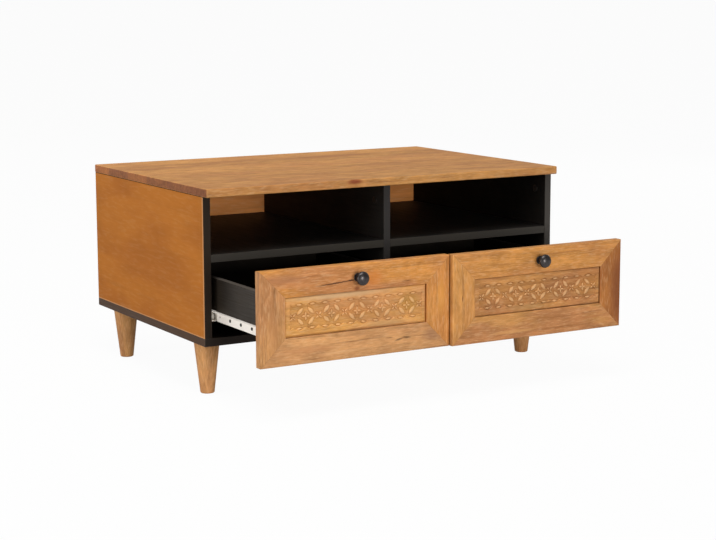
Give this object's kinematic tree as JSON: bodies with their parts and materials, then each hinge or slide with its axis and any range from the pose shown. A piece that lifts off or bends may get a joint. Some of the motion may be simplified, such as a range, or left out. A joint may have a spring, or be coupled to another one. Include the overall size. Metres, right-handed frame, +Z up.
{
  "type": "coffee table with drawers",
  "caption": "Low wooden coffee table with turned tapered legs, open bays under the top, and framed drawers with carved panels that slide on roller runners.",
  "frame": {"origin": "on the floor, under the middle of the table top", "axes": "+X to the right of a person who faces the drawers, +Y to the back, +Z up"},
  "size_m": [0.8, 0.78, 0.4],
  "materials": {
    "top_wood": "satin lacquer",
    "front_wood": "satin lacquer",
    "carved_wood": "satin lacquer",
    "leg_wood": "satin lacquer",
    "veneer_board": "brown veneer outside, black paint inside",
    "black_board": "matt black paint",
    "knob_metal": "satin black",
    "white_enamel": "white epoxy coat",
    "roller_plastic": "white nylon",
    "plated_steel": "zinc plate"
  },
  "bodies": {
    "carcass": {"table_top": "top_wood", "left_side_panel": "veneer_board", "right_side_panel": "veneer_board", "back_panel": "veneer_board", "bottom_panel": "black_board", "centre_divider": "black_board", "left_shelf": "black_board", "right_shelf": "black_board", "front_left_leg": "leg_wood", "front_right_leg": "leg_wood", "back_left_leg": "leg_wood", "back_right_leg": "leg_wood", "front_left_leg_bolt": "plated_steel", "front_right_leg_bolt": "plated_steel", "back_left_leg_bolt": "plated_steel", "back_right_leg_bolt": "plated_steel", "left_bay_left_runner": "white_enamel", "left_bay_right_runner": "white_enamel", "right_bay_left_runner": "white_enamel", "right_bay_right_runner": "white_enamel"},
    "left_drawer": {"left_drawer_top_rail": "front_wood", "left_drawer_bottom_rail": "front_wood", "left_drawer_left_stile": "front_wood", "left_drawer_right_stile": "front_wood", "left_drawer_carved_panel": "carved_wood", "left_drawer_box_inner_front": "black_board", "left_drawer_box_left_side": "black_board", "left_drawer_box_right_side": "black_board", "left_drawer_box_back": "black_board", "left_drawer_box_bottom": "black_board", "left_drawer_knob": "knob_metal", "left_drawer_knob_screw": "plated_steel", "left_drawer_left_slide": "white_enamel", "left_drawer_right_slide": "white_enamel"},
    "right_drawer": {"right_drawer_top_rail": "front_wood", "right_drawer_bottom_rail": "front_wood", "right_drawer_left_stile": "front_wood", "right_drawer_right_stile": "front_wood", "right_drawer_carved_panel": "carved_wood", "right_drawer_box_inner_front": "black_board", "right_drawer_box_left_side": "black_board", "right_drawer_box_right_side": "black_board", "right_drawer_box_back": "black_board", "right_drawer_box_bottom": "black_board", "right_drawer_knob": "knob_metal", "right_drawer_knob_screw": "plated_steel", "right_drawer_left_slide": "white_enamel", "right_drawer_right_slide": "white_enamel"},
    "left_bay_left_front_roller": {"left_bay_left_front_roller": "roller_plastic"},
    "left_drawer_left_rear_roller": {"left_drawer_left_rear_roller": "roller_plastic"},
    "left_bay_right_front_roller": {"left_bay_right_front_roller": "roller_plastic"},
    "left_drawer_right_rear_roller": {"left_drawer_right_rear_roller": "roller_plastic"},
    "right_bay_left_front_roller": {"right_bay_left_front_roller": "roller_plastic"},
    "right_drawer_left_rear_roller": {"right_drawer_left_rear_roller": "roller_plastic"},
    "right_bay_right_front_roller": {"right_bay_right_front_roller": "roller_plastic"},
    "right_drawer_right_rear_roller": {"right_drawer_right_rear_roller": "roller_plastic"}
  },
  "joints": [
    {"name": "left_drawer_slide", "type": "slide", "parent": "carcass", "child": "left_drawer", "axis": [0, -1, 0], "range_m": [-0.206, 0.094]},
    {"name": "left_bay_left_front_roller_spin", "type": "hinge", "parent": "carcass", "child": "left_bay_left_front_roller", "pos_m": [-0.37945, -0.237, 0.1572], "axis": [1, 0, 0], "continuous": true},
    {"name": "left_drawer_left_rear_roller_spin", "type": "hinge", "parent": "left_drawer", "child": "left_drawer_left_rear_roller", "pos_m": [-0.37605, -0.02, 0.1572], "axis": [1, 0, 0], "continuous": true},
    {"name": "left_bay_right_front_roller_spin", "type": "hinge", "parent": "carcass", "child": "left_bay_right_front_roller", "pos_m": [-0.01205, -0.237, 0.1572], "axis": [1, 0, 0], "continuous": true},
    {"name": "left_drawer_right_rear_roller_spin", "type": "hinge", "parent": "left_drawer", "child": "left_drawer_right_rear_roller", "pos_m": [-0.01545, -0.02, 0.1572], "axis": [1, 0, 0], "continuous": true},
    {"name": "right_drawer_slide", "type": "slide", "parent": "carcass", "child": "right_drawer", "axis": [0, -1, 0], "range_m": [-0.214, 0.086]},
    {"name": "right_bay_left_front_roller_spin", "type": "hinge", "parent": "carcass", "child": "right_bay_left_front_roller", "pos_m": [0.01205, -0.237, 0.1572], "axis": [1, 0, 0], "continuous": true},
    {"name": "right_drawer_left_rear_roller_spin", "type": "hinge", "parent": "right_drawer", "child": "right_drawer_left_rear_roller", "pos_m": [0.01545, -0.028, 0.1572], "axis": [1, 0, 0], "continuous": true},
    {"name": "right_bay_right_front_roller_spin", "type": "hinge", "parent": "carcass", "child": "right_bay_right_front_roller", "pos_m": [0.37945, -0.237, 0.1572], "axis": [1, 0, 0], "continuous": true},
    {"name": "right_drawer_right_rear_roller_spin", "type": "hinge", "parent": "right_drawer", "child": "right_drawer_right_rear_roller", "pos_m": [0.37605, -0.028, 0.1572], "axis": [1, 0, 0], "continuous": true}
  ],
  "couplings": [
    {"joint": "left_bay_left_front_roller_spin", "follows": "left_drawer_slide", "rad_per_m": 133.33},
    {"joint": "left_drawer_left_rear_roller_spin", "follows": "left_drawer_slide", "rad_per_m": 133.33},
    {"joint": "left_bay_right_front_roller_spin", "follows": "left_drawer_slide", "rad_per_m": 133.33},
    {"joint": "left_drawer_right_rear_roller_spin", "follows": "left_drawer_slide", "rad_per_m": 133.33},
    {"joint": "right_bay_left_front_roller_spin", "follows": "right_drawer_slide", "rad_per_m": 133.33},
    {"joint": "right_drawer_left_rear_roller_spin", "follows": "right_drawer_slide", "rad_per_m": 133.33},
    {"joint": "right_bay_right_front_roller_spin", "follows": "right_drawer_slide", "rad_per_m": 133.33},
    {"joint": "right_drawer_right_rear_roller_spin", "follows": "right_drawer_slide", "rad_per_m": 133.33}
  ]
}
